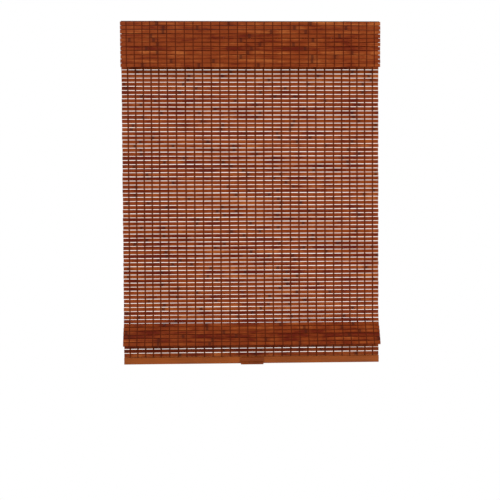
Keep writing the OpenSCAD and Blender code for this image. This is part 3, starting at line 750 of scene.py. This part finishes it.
class ROMAN_SHADE_OT_fold(bpy.types.Operator):
    """Weaves the bottom fold and the tail that hangs below it"""

    bl_idname = "roman_shade.fold"
    bl_label = "Weave the bottom fold"

    seed = 11

    def execute(self, context):
        sizes = context.scene.shade_sizes
        low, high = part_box("shade_panel")
        start = ((low.y + high.y) / 2, high.z - sizes.panel_rows * sizes.pitch)
        rows = fold_runs(sizes, *start)
        # the fold's warps meet the panel's just below its end, so the gathered slats stay clear of them
        seam = (start[0] - sizes.hinge_room * math.sin(sizes.fold_lean),
                start[1] - sizes.hinge_room * math.cos(sizes.fold_lean))
        # the fold and the tail are drawn darker still as painted shade, and the fold's fifth row darker than
        # the rest
        tones_and_shading = row_tones(len(rows), shift=-0.1, spread=0.12, seed=self.seed, own=[(4, -0.2)])
        # only the tail hangs free, so only its slats get the painted edge glow
        free = [0.0] * (sizes.front_rows + sizes.back_rows) + [1.0] * sizes.tail_rows
        weave("fold", "bottom_fold", "bottom_rail", rows, tones_and_shading, free, self.seed, start=seam)
        return {"FINISHED"}


class ROMAN_SHADE_OT_valance(bpy.types.Operator):
    """Weaves the valance in front of the headrail"""

    bl_idname = "roman_shade.valance"
    bl_label = "Weave the valance"

    seed = 29

    def execute(self, context):
        sizes = context.scene.shade_sizes
        low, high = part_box("valance")
        top = Vector(((low.y + high.y) / 2, high.z))
        rows = run_of_rows(top, 0.0, sizes.valance_rows, sizes.pitch, 0.0)
        # the valance's top row is drawn paler: a painted highlight of the light falling from above
        tones_and_shading = row_tones(len(rows), shift=-0.01, spread=0.09, seed=self.seed, own=[(0, 0.16)])
        free = [0.0] * len(rows)
        weave("valance", "valance", "headrail", rows, tones_and_shading, free, self.seed)
        return {"FINISHED"}


class ROMAN_SHADE_OT_cords(bpy.types.Operator):
    """Makes the braided lift cords and their turns on the drums"""

    bl_idname = "roman_shade.cords"
    bl_label = "Make the lift cords"

    turns = 4
    sides = 10
    run_steps = 24
    turn_steps = 16

    def tube(self, name, path, radius):
        """A tube along a path, with how far round and along it each point lies."""
        verts, faces, around, along = [], [], [], []
        gone = 0.0
        for i, spot in enumerate(path):
            ahead = path[min(i + 1, len(path) - 1)] - path[max(i - 1, 0)]
            gone += (spot - path[i - 1]).length if i else 0.0
            turn = ahead.to_track_quat("Z", "X").to_matrix()
            for k in range(self.sides):
                angle = FULL_TURN * k / self.sides
                verts.append(spot + turn @ Vector((math.cos(angle), math.sin(angle), 0)) * radius)
                around.append(k / self.sides)
                along.append(gone)
        for i in range(len(path) - 1):
            for k in range(self.sides):
                a, b = i * self.sides + k, i * self.sides + (k + 1) % self.sides
                faces.append((a, b, b + self.sides, a + self.sides))
        faces.append(tuple(reversed(range(self.sides))))
        faces.append(tuple(range(len(verts) - self.sides, len(verts))))
        mesh = bpy.data.meshes.new(name)
        mesh.from_pydata(verts, [], faces)
        for label, values in (("around", around), ("along", along)):
            mesh.attributes.new(label, "FLOAT", "POINT").data.foreach_set("value", values)
        mesh.shade_smooth()
        mesh.materials.append(finish("cord"))
        return linked(name, mesh)

    def execute(self, context):
        shaft_low, shaft_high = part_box("lift_shaft")
        axis = (shaft_low + shaft_high) / 2
        for node in ("lift_cord_left", "lift_cord_right"):
            low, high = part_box(node)
            # the turns lie side by side, so their width gives the cord's
            radius = (high.x - low.x) / self.turns / 2
            x = (low.x + high.x) / 2
            y = high.y - radius
            wound = y - axis.y
            run = [Vector((x, y, axis.z + (low.z - axis.z) * i / self.run_steps))
                   for i in range(self.run_steps + 1)]
            cord = self.tube(node + "_run", run, radius)
            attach(cord, "headrail")
            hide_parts(node)
            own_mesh(cord)
            coil = []
            for i in range(self.turns * self.turn_steps + 1):
                angle = FULL_TURN * i / self.turn_steps
                coil.append(Vector((x - 2 * radius * i / self.turn_steps, axis.y + wound * math.cos(angle),
                                    axis.z + wound * math.sin(angle))))
            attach(self.tube(node + "_turns", coil, radius), "lift_shaft")
        return {"FINISHED"}


class ROMAN_SHADE_OT_bottom_rail(bpy.types.Operator):
    """Finishes the wooden strips and the pull handle"""

    bl_idname = "roman_shade.bottom_rail"
    bl_label = "Finish the bottom rail"

    def execute(self, context):
        dress(["hem_bar_front", "hem_bar_back", "hanging_batten"], "hem")
        dress(["pull_handle"], "handle")
        return {"FINISHED"}


class ROMAN_SHADE_OT_hardware(bpy.types.Operator):
    """Finishes the headrail, its brackets and the lift inside it"""

    bl_idname = "roman_shade.hardware"
    bl_label = "Finish the hardware"

    def execute(self, context):
        rings = ["ring_row_%d" % row for row in range(1, 6)]
        dress(["headrail"], "steel")
        dress(["bracket_left", "bracket_right", "batten_screws", "panel_staples", "hem_screws",
               "handle_screws"], "zinc")
        dress(["lift_shaft", "motor_spring"], "spring")
        dress(["drum_cradle_left", "drum_cradle_right", "cord_drum_left", "cord_drum_right", "output_drum",
               "storage_drum", "motor_cover"], "acetal")
        dress(["end_cap_left", "end_cap_right", "motor_case", "cord_anchors", "tail_rings"] + rings, "nylon")
        dress(["headrail_loop_tape", "valance_hook_tape"], "tape")
        return {"FINISHED"}


class ROMAN_SHADE_OT_stage(bpy.types.Operator):
    """Sets up the floor, the lamps, the white air and the camera"""

    bl_idname = "roman_shade.stage"
    bl_label = "Set the stage"

    def plane(self, name, corners, material):
        """A flat piece of the stage with four corners."""
        mesh = bpy.data.meshes.new(name)
        mesh.from_pydata(corners, [], [(0, 1, 2, 3)])
        mesh.materials.append(material)
        linked(name, mesh)

    def lamp(self, name, place, target, size, watts):
        """A round soft lamp that faces a target."""
        data = bpy.data.lights.new(name, "AREA")
        data.shape = "DISK"
        data.size = size
        data.energy = watts
        lamp = linked(name, data)
        lamp.location = place
        lamp.rotation_euler = (Vector(target) - Vector(place)).to_track_quat("-Z", "Y").to_euler()

    def execute(self, context):
        scene = context.scene
        stage = scene.shade_stage
        scene.view_settings.view_transform = "Standard"

        # matt floor paint, pale enough to show a soft shadow, with a roller's mottle about 40 mm across
        paint, tree, shader = new_material("pale_floor_paint")
        place = add(tree, "ShaderNodeTexCoord").outputs["Object"]
        mottle = add(tree, "ShaderNodeTexNoise", {"Vector": place, "Scale": 1 / (40 * MM), "Detail": 3.0})
        rough = add(tree, "ShaderNodeMapRange", {"Value": mottle, "To Min": 0.75, "To Max": 0.85})
        fill(tree, shader, {"Base Color": linear(scene.shade_colours.backdrop), "Roughness": rough})
        half, floor = stage.floor_half, stage.floor
        corners = [(x * half, y * half, floor) for x, y in ((-1, -1), (1, -1), (1, 1), (-1, 1))]
        self.plane("studio_floor", corners, paint)

        # air that is plain white where it is seen, and a low even light elsewhere
        world = bpy.data.worlds.new("studio_air")
        scene.world = world
        world.use_nodes = True
        tree = world.node_tree
        tree.nodes.clear()
        seen = add(tree, "ShaderNodeLightPath").outputs
        shown = seen["Is Camera Ray"]
        for ray in ("Is Glossy Ray", "Is Transmission Ray"):
            shown = add(tree, "ShaderNodeMath", {0: shown, 1: seen[ray]}, operation="MAXIMUM")
        level = add(tree, "ShaderNodeMapRange", {"Value": shown, "To Min": 0.4, "To Max": 1.0})
        air = add(tree, "ShaderNodeBackground", {"Color": (1, 1, 1, 1), "Strength": level})
        add(tree, "ShaderNodeOutputWorld", {"Surface": air})

        # each lamp's place, its size across and its watts, turned to the middle of the shade
        target = (0, 0, -0.6)
        for name, place, size, watts in (("key", (-1.7, -2.9, 0.9), 1.6, 47),
                                         ("fill", (2.3, -2.6, -0.5), 2.2, 49),
                                         ("back", (0.9, 2.3, 2.3), 2.0, 45)):
            self.lamp(name, place, target, size, watts)

        data = bpy.data.cameras.new("camera")
        data.sensor_width = 36.0
        data.lens = stage.focal_pixels * data.sensor_width / FRAME_PIXELS
        data.clip_end = 50
        camera = linked("camera", data)
        camera.location = stage.place
        camera.rotation_euler = (
            Matrix.Rotation(-stage.yaw, 3, "Z") @ Matrix.Rotation(math.pi / 2 - stage.pitch, 3, "X")
            @ Matrix.Rotation(-stage.roll, 3, "Z")).to_euler()
        scene.camera = camera
        return {"FINISHED"}


class ROMAN_SHADE_PT_sidebar(bpy.types.Panel):
    """Lists the steps that make the shade"""

    bl_idname = "ROMAN_SHADE_PT_sidebar"
    bl_label = "Roman Shade"
    bl_space_type = "VIEW_3D"
    bl_region_type = "UI"
    bl_category = "Roman Shade"

    def draw(self, context):
        for name in STEPS:
            self.layout.operator("roman_shade." + name)
        for name in GROUPS:
            group = getattr(context.scene, name)
            for key in group.__annotations__:
                self.layout.prop(group, key)


STEPS = ("stage", "panel", "fold", "valance", "cords", "bottom_rail", "hardware")
GROUPS = {"shade_sizes": ShadeSizes, "shade_colours": ShadeColours, "shade_stage": ShadeStage}
CLASSES = (
    *GROUPS.values(), ROMAN_SHADE_OT_stage, ROMAN_SHADE_OT_panel, ROMAN_SHADE_OT_fold,
    ROMAN_SHADE_OT_valance, ROMAN_SHADE_OT_cords, ROMAN_SHADE_OT_bottom_rail, ROMAN_SHADE_OT_hardware,
    ROMAN_SHADE_PT_sidebar)


def register():
    """Registers the classes, and hangs the sizes and colours on the scene."""
    for item in CLASSES:
        bpy.utils.register_class(item)
    for name, group in GROUPS.items():
        setattr(bpy.types.Scene, name, bpy.props.PointerProperty(type=group))


def unregister():
    """Takes back what register did."""
    for name in GROUPS:
        delattr(bpy.types.Scene, name)
    for item in reversed(CLASSES):
        bpy.utils.unregister_class(item)


def main():
    """Makes the shade step by step."""
    register()
    for name in STEPS:
        getattr(bpy.ops.roman_shade, name)()


if __name__ == "__main__":
    main()
